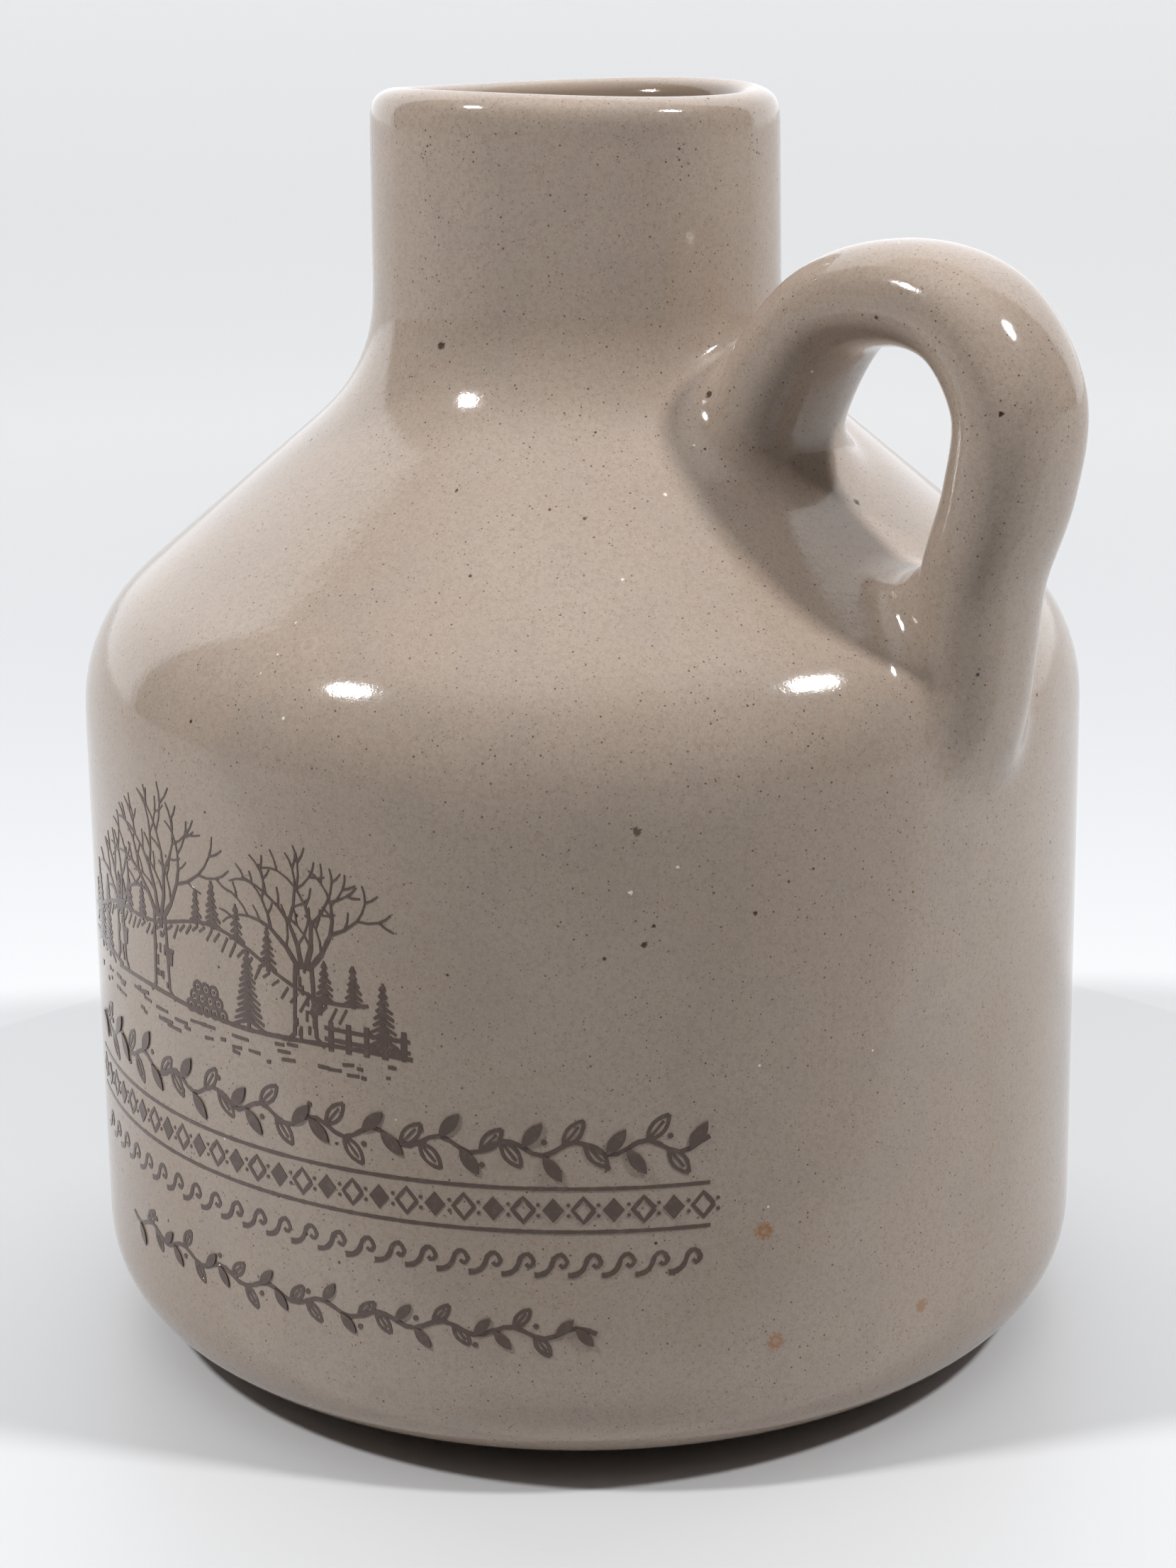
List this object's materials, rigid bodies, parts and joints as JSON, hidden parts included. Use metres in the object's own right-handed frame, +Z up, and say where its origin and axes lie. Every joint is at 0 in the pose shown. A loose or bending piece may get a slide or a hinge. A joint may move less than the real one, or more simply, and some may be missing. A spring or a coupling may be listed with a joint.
{
  "type": "stoneware syrup jug",
  "caption": "Small round glazed stoneware syrup jug with a cone shoulder, a short open neck and an ear handle for one finger; empty and without a stopper.",
  "frame": {"origin": "Middle of the flat underside of the foot, on the jug's axis.", "axes": "+Z up along the axis of the jug, from the foot to the mouth. +X towards the handle. +Y completes a right-handed set; the jug is narrowest along Y."},
  "size_m": [0.1049, 0.0986, 0.1203],
  "materials": {
    "glaze": "glossy warm grey-beige glaze with fine brown specks"
  },
  "bodies": {
    "root": {"jug": "glaze"}
  },
  "joints": []
}
